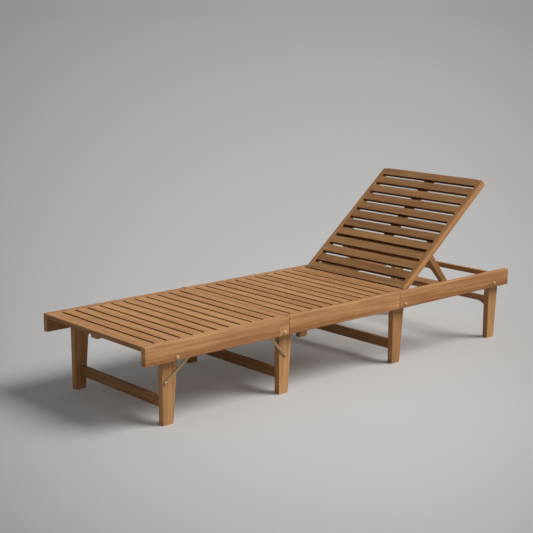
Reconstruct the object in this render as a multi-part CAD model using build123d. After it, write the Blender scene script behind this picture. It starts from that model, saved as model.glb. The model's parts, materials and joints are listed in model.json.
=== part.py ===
from build123d import *
from math import cos, radians, sin
import os

# Wooden folding sun lounger. The deck is three hinged sections on four folding pairs of legs,
# and the head third is a slatted back that a prop frame holds up.
#
# X runs along the lounger from the foot end to the head end, Y across it from the near rail to
# the far rail, Z up from the floor. The shapes are built with X = 0 at the foot end and Y = 0 at
# the near rail's outer face, and saved with the origin under the middle of the lounger.
# "Flat" means the back laid level. The near piece of each pair is modelled and mirrored.

# Overall sizes
LENGTH = 1992.0
WIDTH = 660.0
DECK_HEIGHT = 311.5

# Clearances
RUN_CLEARANCE = 0.3
BORE_CLEARANCE = 0.05
SEAT_GAP = 0.3
OVERRUN = 5.0

# Side rails
RAIL_HEIGHT = 70.5
RAIL_THICKNESS = 24.0
RAIL_EDGE_RADIUS = 3.0
RAIL_END_RADIUS = 2.0
SEAM_HALF_GAP = 0.3
FOOT_SEAM_X = 667.6
HEAD_SEAM_X = 1281.6

# Pads let into the rails' outer faces where the bolts of leg pair 2 pass
PAD_LENGTH = 46.0
PAD_HEIGHT = 36.0
PAD_THICKNESS = 3.0
PAD_HEAD_MARGIN = 2.6
PAD_BOTTOM = 241.5

# Slat strips along the rails' inner faces, flush with the deck, that the slats butt against
STRIP_THICKNESS = 9.2
STRIP_HEIGHT = 38.0

# Deck slats
SLAT_THICKNESS = 18.0
SLAT_EDGE_RADIUS = 2.5
SLAT_GAP = 8.0
FOOT_END_SLAT_WIDTH = 59.1
FOOT_SLAT_WIDTH = 47.78
FOOT_SLAT_COUNT = 10
MIDDLE_FIRST_SLAT_WIDTH = 32.5
MIDDLE_SLAT_WIDTH = 46.68
MIDDLE_SLAT_COUNT = 10

# Battens under the deck slats, half way across
DECK_BATTEN_WIDTH = 40.0
DECK_BATTEN_DEPTH = 15.5
DECK_BATTEN_START = 10.0
DECK_BATTEN_END_MARGIN = 6.0

# Legs, each pair with its pivot bolts, and a stretcher between the two legs
LEG_THICKNESS = 25.0
LEG_FLOOR_WIDTH = 45.0
LEG_TOP_WIDTH = 66.0
LEG_4_TOP_WIDTH = 62.0
LEG_FOOT_RADIUS = 3.0
LEG_SIDE_GAP = 1.8
LEG_TOP_CHAMFER = 6.0
LEG_1_X = 97.0
LEG_2_X = 646.0
LEG_3_X = 1278.0
LEG_4_X = 1902.0
PIVOT_1_X = 138.0
PIVOT_2_X = 644.5
PIVOT_3_X = 1317.0
PIVOT_4_X = 1895.5
PIVOT_1_Z = 252.0
PIVOT_2_Z = 252.0
PIVOT_3_Z = 256.0
PIVOT_4_Z = 258.0
LEG_TOP_ABOVE_PIVOT = 22.0
EAR_REACH = 15.0
EAR_TOP_ABOVE_PIVOT = 18.0
STRETCHER_THICKNESS = 18.0
STRETCHER_HEIGHT = 40.0
STRETCHER_BOTTOM = 53.0
STRETCHER_SETBACK = 23.0
APRON_TOP = 183.0
APRON_MIDDLE_HEIGHT = 25.0
APRON_END_HEIGHT = 49.0
APRON_CURVE_LENGTH = 60.0

# Pivot bolts
BOLT_RADIUS = 4.0
BOLT_HEAD_RADIUS = 9.0
BOLT_HEAD_HEIGHT = 4.5
SPACER_RADIUS = 8.0
NUT_RADIUS = 7.5
NUT_HEIGHT = 6.0
BOLT_TAIL = 2.0

# Stays, flat bars from the legs up to blocks under the slat strips
STAY_WIDTH = 12.0
STAY_THICKNESS = 3.0
STAY_REACH = 148.0
STAY_LEG_GAP = 1.0
STAY_1_X = 107.5
STAY_1_Z = 157.0
STAY_1_SLOPE = 36.5
STAY_2_X = 676.5
STAY_2_Z = 152.0
STAY_2_SLOPE = 132.9
STAY_BLOCK_LENGTH = 26.0
RIVET_RADIUS = 3.0
RIVET_HEAD_RADIUS = 5.5
RIVET_HEAD_HEIGHT = 1.8
RIVET_DEPTH = 15.0

# Back, sizes along it counted from its hinge axis
BACK_ANGLE = 39.1
BACK_HINGE_X = 1336.0
BACK_HINGE_DEPTH = 4.0
BACK_END_GAP = 4.3
BACK_REACH = 650.0
STILE_OFFSET = 34.0
STILE_THICKNESS = 25.0
STILE_DEPTH = 28.0
STILE_CORNER_RADIUS = 11.0
STILE_END_RADIUS = 7.0
BACK_FIRST_GAP = 49.4
BACK_GAP = 14.0
BACK_PITCH = 55.23
BACK_SLAT_COUNT = 10
BACK_SLAT_THICKNESS = 14.0
BACK_SLAT_EDGE_RADIUS = 3.0
BATTEN_WIDTH = 50.0
BATTEN_DEPTH = 12.0
BATTEN_END_MARGIN = 12.0
BACK_BAR_REACH = 204.0
BACK_BAR_WIDTH = 40.0
BACK_BAR_DEPTH = 11.6
BACK_BAR_END_DEPTH = 5.6
BACK_BAR_END_WIDTH = 90.0
BACK_BAR_SHOULDER = 46.0
BACK_BAR_CURVE = 40.0

# Prop frame under the back
PROP_PIVOT_REACH = 224.0
PROP_PIVOT_DEPTH = 33.0
PROP_ANGLE = 51.6
FOOT_PIN_Z = 276.0
FOOT_PIN_RADIUS = 6.0
STRUT_WIDTH = 26.0
STRUT_THICKNESS = 23.4
STRUT_SIDE_GAP = 1.3
CLEAT_THICKNESS = 18.0
CLEAT_SIDE_GAP = 0.5
CLEAT_DEPTH = 30.0
CLEAT_TIP_RADIUS = 12.0
PROP_PIN_RADIUS = 4.0
PROP_PIN_HEAD_RADIUS = 7.0
PROP_PIN_HEAD_HEIGHT = 3.0
PROP_PIN_SETBACK = 0.4
CROSSBAR_START = 50.0
CROSSBAR_WIDTH = 27.0
CROSSBAR_DEPTH = 12.0
CROSSBAR_CURVE = 20.0
CROSSBAR_CURVE_LENGTH = 48.0

# Rack strips that the prop's foot pins stand on, the rack board and the head end bar
RACK_START_X = 1598.0
RACK_LEVEL_END_X = 1645.0
RACK_END_X = 1740.0
RACK_TOP = 269.6
RACK_END_Z = 258.7
RACK_BOARD_X = 1681.0
RACK_BOARD_WIDTH = 75.0
RACK_BOARD_TOP = 256.6
RACK_BOARD_THICKNESS = 9.2
END_BAR_THICKNESS = 18.0
END_BAR_HEIGHT = 22.0

# Butt hinges: two of them fold each seam, three carry the back
HINGE_BARREL_RADIUS = 3.0
HINGE_PIN_RADIUS = 1.5
HINGE_LEAF_THICKNESS = 1.5
SEAM_HINGE_LENGTH = 18.0
SEAM_LEAF_HEIGHT = 30.0
BACK_HINGE_LENGTH = 40.0
BACK_LEAF_HEIGHT = 13.0
BACK_HINGE_INSET = 120.0

RAIL_BOTTOM = DECK_HEIGHT - RAIL_HEIGHT
SLAT_BOTTOM = DECK_HEIGHT - SLAT_THICKNESS
STRIP_BOTTOM = DECK_HEIGHT - STRIP_HEIGHT
STRIP_FACE_Y = RAIL_THICKNESS + STRIP_THICKNESS
LEG_Y = STRIP_FACE_Y + LEG_SIDE_GAP
BACK_SLAT_BOTTOM = DECK_HEIGHT - BACK_SLAT_THICKNESS
LEG_INNER_Y = LEG_Y + LEG_THICKNESS
STILE_INNER_Y = STILE_OFFSET + STILE_THICKNESS
BACK_HINGE_Z = DECK_HEIGHT - BACK_HINGE_DEPTH
PROP_PIVOT_X = BACK_HINGE_X + PROP_PIVOT_REACH
PROP_PIVOT_Z = DECK_HEIGHT - PROP_PIVOT_DEPTH
FOOT_SEAM_AXIS_Z = DECK_HEIGHT + SEAT_GAP
HEAD_SEAM_AXIS_Z = RAIL_BOTTOM - SEAT_GAP
PIVOT_BORE = BOLT_RADIUS + BORE_CLEARANCE


# Helpers

def block(low_x, high_x, low_y, high_y, low_z, high_z):
    corner = Box(high_x - low_x, high_y - low_y, high_z - low_z, align=(Align.MIN, Align.MIN, Align.MIN))
    return Pos(low_x, low_y, low_z) * corner


def side_plate(outline, low_y, high_y):
    """A plate whose outline lies in the XZ plane."""
    face = make_face(Plane.XZ * Polyline(*outline, close=True))
    plate = extrude(face, amount=high_y - low_y, dir=(0, 1, 0))
    return Pos(0, low_y, 0) * plate


def across(x, z, low_y, high_y, radius):
    """A round bar that runs across the lounger."""
    bar = Cylinder(radius, high_y - low_y, align=(Align.CENTER, Align.CENTER, Align.MIN))
    return Pos(x, low_y, z) * Rot(-90, 0, 0) * bar


def soften(part, axis, radius):
    return fillet(part.edges().filter_by(axis), radius)


def round_top(part, axis, radius):
    return fillet(part.edges().filter_by(axis).group_by(Axis.Z)[-1], radius)


def far(part):
    """The same piece on the far side."""
    return mirror(part, about=Plane(origin=(0, WIDTH / 2, 0), z_dir=(0, 1, 0)))


def both(part):
    return [part, far(part)]


def turned(part, x, z, degrees):
    """Turned about a crosswise axis: a positive angle lifts what lies towards the head."""
    return part.rotate(Axis((x, 0, z), (0, 1, 0)), -degrees)


def raised(part):
    """From the flat back to the back at its rest angle."""
    return turned(part, BACK_HINGE_X, BACK_HINGE_Z, BACK_ANGLE)


def raised_point(x, z):
    run = x - BACK_HINGE_X
    rise = z - BACK_HINGE_Z
    lean = radians(BACK_ANGLE)
    turned_run = run * cos(lean) - rise * sin(lean)
    turned_rise = run * sin(lean) + rise * cos(lean)
    return BACK_HINGE_X + turned_run, BACK_HINGE_Z + turned_rise


def save(name, pieces):
    placed = [Pos(-LENGTH / 2, -WIDTH / 2, 0) * piece for piece in pieces]
    solids = [solid for piece in placed for solid in piece.solids()]
    shape = solids[0] if len(solids) == 1 else Compound(children=solids)
    shape.label = name
    export_step(shape, f"parts/{name}.step")


def save_pair(name, part):
    save(f"{name}_near", [part])
    save(f"{name}_far", [far(part)])


# Side rails

def rail(low_x, high_x):
    beam = block(low_x, high_x, 0, RAIL_THICKNESS, RAIL_BOTTOM, DECK_HEIGHT)
    beam = soften(beam, Axis.X, RAIL_EDGE_RADIUS)
    end_edges = beam.edges().filter_by(Axis.Z).group_by(Axis.Y)[0]
    return fillet(end_edges, RAIL_END_RADIUS)


def bolt_bore(x, z):
    return across(x, z, -OVERRUN, RAIL_THICKNESS + OVERRUN, PIVOT_BORE)


def seam_recess(seam_x, axis_z, side, up):
    """Room in a rail's end for a hinge leaf and its barrels. A side of -1 is towards the foot."""
    middle_y = RAIL_THICKNESS / 2
    low_y = middle_y - SEAM_HINGE_LENGTH / 2 - RUN_CLEARANCE
    high_y = middle_y + SEAM_HINGE_LENGTH / 2 + RUN_CLEARANCE
    deep_x = seam_x + side * (SEAM_HALF_GAP + HINGE_LEAF_THICKNESS)
    end_z = axis_z - up * (SEAM_LEAF_HEIGHT + HINGE_BARREL_RADIUS + RUN_CLEARANCE)
    past_z = axis_z + up * OVERRUN
    low_x, high_x = sorted((seam_x, deep_x))
    low_z, high_z = sorted((end_z, past_z))
    leaf_room = block(low_x, high_x, low_y, high_y, low_z, high_z)
    barrel_room = across(seam_x, axis_z, low_y, high_y, HINGE_BARREL_RADIUS + 2 * RUN_CLEARANCE)
    return leaf_room + barrel_room


def rail_pad():
    high_x = FOOT_SEAM_X - PAD_HEAD_MARGIN
    low_z = PAD_BOTTOM + RAIL_EDGE_RADIUS
    pad = block(high_x - PAD_LENGTH, high_x, 0, PAD_THICKNESS, low_z, PAD_BOTTOM + PAD_HEIGHT)
    return pad - bolt_bore(PIVOT_2_X, PIVOT_2_Z)


def foot_rail():
    beam = rail(0, FOOT_SEAM_X - SEAM_HALF_GAP)
    beam -= rail_pad()
    beam -= bolt_bore(PIVOT_1_X, PIVOT_1_Z)
    beam -= bolt_bore(PIVOT_2_X, PIVOT_2_Z)
    return beam - seam_recess(FOOT_SEAM_X, FOOT_SEAM_AXIS_Z, -1, 1)


def middle_rail():
    beam = rail(FOOT_SEAM_X + SEAM_HALF_GAP, HEAD_SEAM_X - SEAM_HALF_GAP)
    beam -= seam_recess(FOOT_SEAM_X, FOOT_SEAM_AXIS_Z, 1, 1)
    return beam - seam_recess(HEAD_SEAM_X, HEAD_SEAM_AXIS_Z, -1, -1)


def head_rail():
    beam = rail(HEAD_SEAM_X + SEAM_HALF_GAP, LENGTH)
    beam -= bolt_bore(PIVOT_3_X, PIVOT_3_Z)
    beam -= bolt_bore(PIVOT_4_X, PIVOT_4_Z)
    return beam - seam_recess(HEAD_SEAM_X, HEAD_SEAM_AXIS_Z, 1, -1)


# Deck slats and slat strips

def slat_strip(low_x, high_x):
    return block(low_x, high_x, RAIL_THICKNESS, STRIP_FACE_Y, STRIP_BOTTOM, DECK_HEIGHT)


def slat(low_x, width, inset=STRIP_FACE_Y):
    board = block(low_x, low_x + width, inset, WIDTH - inset, SLAT_BOTTOM, DECK_HEIGHT)
    return round_top(board, Axis.Y, SLAT_EDGE_RADIUS)


def deck_batten(low_x, high_x):
    low_y = (WIDTH - DECK_BATTEN_WIDTH) / 2
    low_z = SLAT_BOTTOM - DECK_BATTEN_DEPTH
    return block(low_x, high_x, low_y, low_y + DECK_BATTEN_WIDTH, low_z, SLAT_BOTTOM)


def slat_run(low_x, width, count):
    return [slat(low_x + index * (width + SLAT_GAP), width) for index in range(count)]


FOOT_RUN_X = FOOT_END_SLAT_WIDTH + SLAT_GAP
FOOT_RUN_LENGTH = FOOT_SLAT_COUNT * (FOOT_SLAT_WIDTH + SLAT_GAP)
FOOT_LAST_X = FOOT_RUN_X + FOOT_RUN_LENGTH
MIDDLE_FIRST_X = FOOT_SEAM_X + SEAM_HALF_GAP
MIDDLE_RUN_X = MIDDLE_FIRST_X + MIDDLE_FIRST_SLAT_WIDTH + SLAT_GAP
MIDDLE_RUN_LENGTH = MIDDLE_SLAT_COUNT * (MIDDLE_SLAT_WIDTH + SLAT_GAP)
MIDDLE_LAST_X = MIDDLE_RUN_X + MIDDLE_RUN_LENGTH
SEAT_SLAT_X = HEAD_SEAM_X + SEAM_HALF_GAP
SEAT_SLAT_END = BACK_HINGE_X - BACK_END_GAP


# Legs

def leg_outline(edge_x, pivot_z, top_width):
    """Straight towards the foot, tapered towards the head up to the rail, with the top corner cut off."""
    top_z = pivot_z + LEG_TOP_ABOVE_PIVOT
    return [
        (edge_x, 0),
        (edge_x + LEG_FLOOR_WIDTH, 0),
        (edge_x + top_width, RAIL_BOTTOM),
        (edge_x + top_width, top_z - LEG_TOP_CHAMFER),
        (edge_x + top_width - LEG_TOP_CHAMFER, top_z),
        (edge_x, top_z),
    ]


def ear(edge_x, pivot_x, pivot_z):
    """The part of a leg's head that reaches past its straight edge to the pivot bolt."""
    low_z = RAIL_BOTTOM + RUN_CLEARANCE
    high_z = pivot_z + EAR_TOP_ABOVE_PIVOT
    lobe = block(pivot_x - EAR_REACH, edge_x + EAR_REACH, LEG_Y, LEG_INNER_Y, low_z, high_z)
    return fillet(lobe.edges().filter_by(Axis.Y).group_by(Axis.X)[0], LEG_FOOT_RADIUS)


def leg(edge_x, pivot_x, pivot_z, top_width=LEG_TOP_WIDTH):
    post = side_plate(leg_outline(edge_x, pivot_z, top_width), LEG_Y, LEG_INNER_Y)
    post = fillet(post.edges().filter_by(Axis.Y).group_by(Axis.Z)[0], LEG_FOOT_RADIUS)
    if pivot_x < edge_x:
        post += ear(edge_x, pivot_x, pivot_z)
    return post - across(pivot_x, pivot_z, LEG_Y - OVERRUN, LEG_INNER_Y + OVERRUN, PIVOT_BORE)


def seam_pad():
    """The head of leg 2 reaches up beside its pivot and carries the middle section's first slat."""
    high_z = SLAT_BOTTOM - SEAT_GAP
    return block(LEG_2_X, LEG_2_X + LEG_TOP_WIDTH, LEG_Y, LEG_INNER_Y, PIVOT_2_Z, high_z)


def leg_2():
    post = leg(LEG_2_X, PIVOT_2_X, PIVOT_2_Z) + seam_pad()
    return post - across(PIVOT_2_X, PIVOT_2_Z, LEG_Y - OVERRUN, LEG_INNER_Y + OVERRUN, PIVOT_BORE)


def stretcher(edge_x):
    low_x = edge_x + STRETCHER_SETBACK
    high_z = STRETCHER_BOTTOM + STRETCHER_HEIGHT
    high_x = low_x + STRETCHER_THICKNESS
    bar = block(low_x, high_x, LEG_INNER_Y, WIDTH - LEG_INNER_Y, STRETCHER_BOTTOM, high_z)
    return soften(bar, Axis.Y, SLAT_EDGE_RADIUS)


def apron(edge_x):
    """The crossbar of pair 4 sits high and curves down where it meets the legs."""
    near_y = LEG_INNER_Y
    far_y = WIDTH - LEG_INNER_Y
    middle_z = APRON_TOP - APRON_MIDDLE_HEIGHT
    end_z = APRON_TOP - APRON_END_HEIGHT
    end_slope = APRON_MIDDLE_HEIGHT / APRON_CURVE_LENGTH
    near_stop = (near_y + APRON_CURVE_LENGTH, middle_z)
    near_curve = Spline((near_y, end_z), near_stop, tangents=[(1, end_slope), (1, 0)])
    far_start = (far_y - APRON_CURVE_LENGTH, middle_z)
    far_curve = Spline(far_start, (far_y, end_z), tangents=[(1, 0), (1, -end_slope)])
    underside = Line(near_curve @ 1, far_curve @ 0)
    sides = Polyline(far_curve @ 1, (far_y, APRON_TOP), (near_y, APRON_TOP), near_curve @ 0)
    face = make_face([near_curve, underside, far_curve, sides])
    bar = extrude(Plane.YZ * face, amount=STRETCHER_THICKNESS)
    return Pos(edge_x + STRETCHER_SETBACK, 0, 0) * bar


# Pivot bolts, spacers and nuts

def bolt_set(x, z):
    tail_y = LEG_INNER_Y + SEAT_GAP + NUT_HEIGHT + BOLT_TAIL
    shank = across(x, z, 0, tail_y, BOLT_RADIUS)
    head = across(x, z, -BOLT_HEAD_HEIGHT, 0, BOLT_HEAD_RADIUS)
    rim = head.edges().group_by(Axis.Y)[0]
    head = fillet(rim, BOLT_HEAD_HEIGHT - BORE_CLEARANCE)
    bore = across(x, z, 0, tail_y, PIVOT_BORE)
    spacer = across(x, z, RAIL_THICKNESS, LEG_Y - RUN_CLEARANCE, SPACER_RADIUS) - bore
    nut_y = LEG_INNER_Y + RUN_CLEARANCE
    nut = extrude(RegularPolygon(NUT_RADIUS, 6), amount=NUT_HEIGHT)
    nut = Pos(x, nut_y, z) * Rot(-90, 0, 0) * nut - bore
    return [head + shank, spacer, nut]


def bolt_group(places):
    pieces = []
    for x, z in places:
        for piece in bolt_set(x, z):
            pieces += both(piece)
    return pieces


# Stays

STAY_HIGH_Y = LEG_Y - STAY_LEG_GAP
STAY_LOW_Y = STAY_HIGH_Y - STAY_THICKNESS


def stay(x, z, slope):
    half = STAY_WIDTH / 2
    bar = block(x, x + STAY_REACH, STAY_LOW_Y, STAY_HIGH_Y, z - half, z + half)
    bar += across(x, z, STAY_LOW_Y, STAY_HIGH_Y, half)
    bar += across(x + STAY_REACH, z, STAY_LOW_Y, STAY_HIGH_Y, half)
    bar -= across(x, z, STAY_LOW_Y - OVERRUN, STAY_HIGH_Y + OVERRUN, RIVET_RADIUS + BORE_CLEARANCE)
    return turned(bar, x, z, slope)


def stay_rivet(x, z):
    shank = across(x, z, STAY_LOW_Y - RUN_CLEARANCE, LEG_Y + RIVET_DEPTH, RIVET_RADIUS)
    head_y = STAY_LOW_Y - RUN_CLEARANCE - RIVET_HEAD_HEIGHT
    return shank + across(x, z, head_y, STAY_LOW_Y - RUN_CLEARANCE, RIVET_HEAD_RADIUS)


def rivet_bore(x, z):
    return across(x, z, LEG_Y - OVERRUN, LEG_Y + RIVET_DEPTH, RIVET_RADIUS)


def stay_block(x, z, slope):
    """The block under the slat strip that a stay's upper end bears on."""
    tip_x = x + STAY_REACH * cos(radians(slope))
    tip_z = z + STAY_REACH * sin(radians(slope))
    low_z = tip_z + STAY_WIDTH / 2 + SEAT_GAP
    half = STAY_BLOCK_LENGTH / 2
    return block(tip_x - half, tip_x + half, RAIL_THICKNESS, STRIP_FACE_Y, low_z, STRIP_BOTTOM)


# Back, built flat and then raised

def back_stile():
    low_x = BACK_HINGE_X + BACK_END_GAP
    high_x = BACK_HINGE_X + BACK_REACH
    post = block(low_x, high_x, STILE_OFFSET, STILE_INNER_Y, DECK_HEIGHT - STILE_DEPTH, DECK_HEIGHT)
    corner = post.edges().filter_by(Axis.Z).group_by(Axis.X)[-1].sort_by(Axis.Y)[0]
    post = fillet(corner, STILE_CORNER_RADIUS)
    post = fillet(post.edges().group_by(Axis.X)[-1].filter_by(Axis.Y), STILE_END_RADIUS)
    return fillet(post.edges().filter_by(Axis.X).group_by(Axis.Z)[-1], SLAT_EDGE_RADIUS)


def back_slat(low_reach, high_reach, bottom_z=BACK_SLAT_BOTTOM):
    low_x = BACK_HINGE_X + low_reach
    high_x = BACK_HINGE_X + high_reach
    board = block(low_x, high_x, STILE_INNER_Y, WIDTH - STILE_INNER_Y, bottom_z, DECK_HEIGHT)
    return soften(board, Axis.Y, BACK_SLAT_EDGE_RADIUS)


def back_slat_low(index):
    return BACK_FIRST_GAP + BACK_GAP / 2 + index * BACK_PITCH


def back_run_slat(index):
    low_reach = back_slat_low(index)
    return back_slat(low_reach, low_reach + BACK_PITCH - BACK_GAP)


def back_batten():
    low_x = BACK_HINGE_X + BACK_BAR_REACH + BACK_BAR_WIDTH
    high_x = BACK_HINGE_X + BACK_REACH - BATTEN_END_MARGIN
    low_y = (WIDTH - BATTEN_WIDTH) / 2
    low_z = BACK_SLAT_BOTTOM - BATTEN_DEPTH
    return block(low_x, high_x, low_y, low_y + BATTEN_WIDTH, low_z, BACK_SLAT_BOTTOM)


CLEAT_LOW_Y = STILE_INNER_Y + STRUT_SIDE_GAP + STRUT_THICKNESS + CLEAT_SIDE_GAP
CLEAT_HIGH_Y = CLEAT_LOW_Y + CLEAT_THICKNESS


def back_bar():
    """Runs across behind the slats, wider where it meets the stiles."""
    low_x = BACK_HINGE_X + BACK_BAR_REACH
    high_x = low_x + BACK_BAR_WIDTH
    wide_x = low_x + BACK_BAR_END_WIDTH
    low_y = STILE_INNER_Y
    near_start = (wide_x, low_y + BACK_BAR_SHOULDER)
    near_stop = (high_x, low_y + BACK_BAR_SHOULDER + BACK_BAR_CURVE)
    near_curve = Spline(near_start, near_stop, tangents=[(-1, 0), (0, 1)])
    far_curve = mirror(near_curve, Plane.XZ.offset(-WIDTH / 2))
    straight = Line(near_curve @ 1, far_curve @ 1)
    far_side = Polyline(far_curve @ 0, (wide_x, WIDTH - low_y), (low_x, WIDTH - low_y), (low_x, low_y))
    near_side = Polyline((low_x, low_y), (wide_x, low_y), near_curve @ 0)
    face = make_face([near_curve, straight, far_curve, far_side, near_side])
    low_z = BACK_SLAT_BOTTOM - BACK_BAR_DEPTH
    bar = Pos(0, 0, low_z) * extrude(face, amount=BACK_BAR_DEPTH)
    end_z = BACK_SLAT_BOTTOM - BACK_BAR_END_DEPTH
    past_z = low_z - OVERRUN
    strut_room = block(low_x - OVERRUN, wide_x + OVERRUN, low_y - OVERRUN, CLEAT_HIGH_Y, past_z, end_z)
    return bar - strut_room - far(strut_room)


def prop_cleat():
    low_x = BACK_HINGE_X + BACK_BAR_REACH
    high_z = BACK_SLAT_BOTTOM - BACK_BAR_END_DEPTH
    cheek = block(low_x, low_x + BACK_BAR_WIDTH, CLEAT_LOW_Y, CLEAT_HIGH_Y, high_z - CLEAT_DEPTH, high_z)
    cheek = fillet(cheek.edges().filter_by(Axis.Y).group_by(Axis.Z)[0], CLEAT_TIP_RADIUS)
    past_y = CLEAT_HIGH_Y + OVERRUN
    return cheek - across(PROP_PIVOT_X, PROP_PIVOT_Z, CLEAT_LOW_Y - OVERRUN, past_y, PROP_PIN_RADIUS)


def prop_pin():
    low_y = STILE_INNER_Y + PROP_PIN_SETBACK
    high_y = CLEAT_HIGH_Y + PROP_PIN_HEAD_HEIGHT
    shank = across(PROP_PIVOT_X, PROP_PIVOT_Z, low_y, high_y, PROP_PIN_RADIUS)
    return shank + across(PROP_PIVOT_X, PROP_PIVOT_Z, CLEAT_HIGH_Y, high_y, PROP_PIN_HEAD_RADIUS)


# Prop frame, built level from its pivot towards the head and then swung down

REST_PIVOT_X, REST_PIVOT_Z = raised_point(PROP_PIVOT_X, PROP_PIVOT_Z)
STRUT_LENGTH = (REST_PIVOT_Z - FOOT_PIN_Z) / sin(radians(PROP_ANGLE))
STRUT_LOW_Y = STILE_INNER_Y + STRUT_SIDE_GAP
STRUT_HIGH_Y = STRUT_LOW_Y + STRUT_THICKNESS


def swung(part):
    return turned(part, REST_PIVOT_X, REST_PIVOT_Z, -PROP_ANGLE)


def prop_strut():
    half = STRUT_WIDTH / 2
    foot_x = REST_PIVOT_X + STRUT_LENGTH
    post = block(REST_PIVOT_X, foot_x, STRUT_LOW_Y, STRUT_HIGH_Y, REST_PIVOT_Z - half, REST_PIVOT_Z + half)
    post += across(REST_PIVOT_X, REST_PIVOT_Z, STRUT_LOW_Y, STRUT_HIGH_Y, half)
    post += across(foot_x, REST_PIVOT_Z, STRUT_LOW_Y, STRUT_HIGH_Y, half)
    pin_bore = PROP_PIN_RADIUS + BORE_CLEARANCE
    post -= across(REST_PIVOT_X, REST_PIVOT_Z, STRUT_LOW_Y - OVERRUN, STRUT_HIGH_Y + OVERRUN, pin_bore)
    post -= across(foot_x, REST_PIVOT_Z, STRUT_LOW_Y - OVERRUN, STRUT_HIGH_Y + OVERRUN, FOOT_PIN_RADIUS)
    return swung(post)


def prop_foot_pin():
    """Reaches out of the strut's foot over the rack strip."""
    foot_x = REST_PIVOT_X + STRUT_LENGTH
    low_y = RAIL_THICKNESS + RUN_CLEARANCE
    return swung(across(foot_x, REST_PIVOT_Z, low_y, STRUT_HIGH_Y, FOOT_PIN_RADIUS))


def prop_crossbar():
    """Joins the struts along their lower edges, wider where it meets them."""
    low_x = REST_PIVOT_X + CROSSBAR_START
    high_x = low_x + CROSSBAR_WIDTH
    wide_x = high_x + CROSSBAR_CURVE_LENGTH
    near_y = STRUT_HIGH_Y
    far_y = WIDTH - STRUT_HIGH_Y
    end_slope = CROSSBAR_CURVE / CROSSBAR_CURVE_LENGTH / 2
    near_stop = (high_x, near_y + CROSSBAR_CURVE)
    near_curve = Spline((wide_x, near_y), near_stop, tangents=[(-1, end_slope), (0, 1)])
    far_start = (high_x, far_y - CROSSBAR_CURVE)
    far_curve = Spline(far_start, (wide_x, far_y), tangents=[(0, 1), (1, end_slope)])
    straight = Line(near_curve @ 1, far_curve @ 0)
    sides = Polyline(far_curve @ 1, (low_x, far_y), (low_x, near_y), near_curve @ 0)
    bar = extrude(make_face([near_curve, straight, far_curve, sides]), amount=CROSSBAR_DEPTH)
    return swung(Pos(0, 0, REST_PIVOT_Z - STRUT_WIDTH / 2) * bar)


# Rack and head end bar

def rack_strip():
    outline = [
        (RACK_START_X, RACK_BOARD_TOP),
        (RACK_END_X, RACK_BOARD_TOP),
        (RACK_END_X, RACK_END_Z),
        (RACK_LEVEL_END_X, RACK_TOP),
        (RACK_START_X, RACK_TOP),
    ]
    return side_plate(outline, RAIL_THICKNESS, STILE_INNER_Y)


def rack_board():
    low_z = RACK_BOARD_TOP - RACK_BOARD_THICKNESS
    high_x = RACK_BOARD_X + RACK_BOARD_WIDTH
    return block(RACK_BOARD_X, high_x, RAIL_THICKNESS, WIDTH - RAIL_THICKNESS, low_z, RACK_BOARD_TOP)


def end_bar():
    high_z = DECK_HEIGHT - STILE_DEPTH - SEAT_GAP
    low_x = LENGTH - END_BAR_THICKNESS
    bar = block(low_x, LENGTH, RAIL_THICKNESS, WIDTH - RAIL_THICKNESS, high_z - END_BAR_HEIGHT, high_z)
    return soften(bar, Axis.Y, SLAT_EDGE_RADIUS)


# Butt hinges

def barrel(x, z, low_y, high_y):
    bore = across(x, z, low_y - OVERRUN, high_y + OVERRUN, HINGE_PIN_RADIUS + BORE_CLEARANCE)
    return across(x, z, low_y, high_y, HINGE_BARREL_RADIUS) - bore


def neck(x, z, low_y, high_y, near_gap, side, up):
    """Ties a barrel to its own leaf."""
    inner_x = x + side * near_gap
    outer_x = x + side * (near_gap + HINGE_LEAF_THICKNESS)
    low_z = z - up * (HINGE_BARREL_RADIUS + 2 * RUN_CLEARANCE)
    low_x, high_x = sorted((inner_x, outer_x))
    start_z, end_z = sorted((low_z, z))
    tie = block(low_x, high_x, low_y, high_y, start_z, end_z)
    return tie - across(x, z, low_y - OVERRUN, high_y + OVERRUN, HINGE_PIN_RADIUS + BORE_CLEARANCE)


def leaf(x, z, low_y, high_y, near_gap, height, side, up):
    inner_x = x + side * near_gap
    outer_x = x + side * (near_gap + HINGE_LEAF_THICKNESS)
    start_z = z - up * (HINGE_BARREL_RADIUS + RUN_CLEARANCE)
    end_z = start_z - up * height
    low_x, high_x = sorted((inner_x, outer_x))
    low_z, high_z = sorted((start_z, end_z))
    return block(low_x, high_x, low_y, high_y, low_z, high_z)


def pinned_leaf(x, z, low_y, length, near_gap, height, side, up):
    """The leaf with the two outer barrels, and the pin that sits in them."""
    third = length / 3
    high_y = low_y + length
    plate = leaf(x, z, low_y, high_y, near_gap, height, side, up)
    for start_y, stop_y in ((low_y, low_y + third), (high_y - third, high_y)):
        plate += neck(x, z, start_y, stop_y, near_gap, side, up)
        plate += barrel(x, z, start_y, stop_y)
    return [plate, across(x, z, low_y, high_y, HINGE_PIN_RADIUS)]


def centre_leaf(x, z, low_y, length, near_gap, height, side, up):
    """The leaf with the one barrel in the middle."""
    start_y = low_y + length / 3 + RUN_CLEARANCE
    stop_y = low_y + length * 2 / 3 - RUN_CLEARANCE
    plate = leaf(x, z, low_y, low_y + length, near_gap, height, side, up)
    plate += neck(x, z, start_y, stop_y, near_gap, side, up)
    return [plate + barrel(x, z, start_y, stop_y)]


def seam_hinges(maker, x, z, side, up):
    low_y = (RAIL_THICKNESS - SEAM_HINGE_LENGTH) / 2
    pieces = maker(x, z, low_y, SEAM_HINGE_LENGTH, SEAM_HALF_GAP, SEAM_LEAF_HEIGHT, side, up)
    return [copy for piece in pieces for copy in both(piece)]


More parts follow.
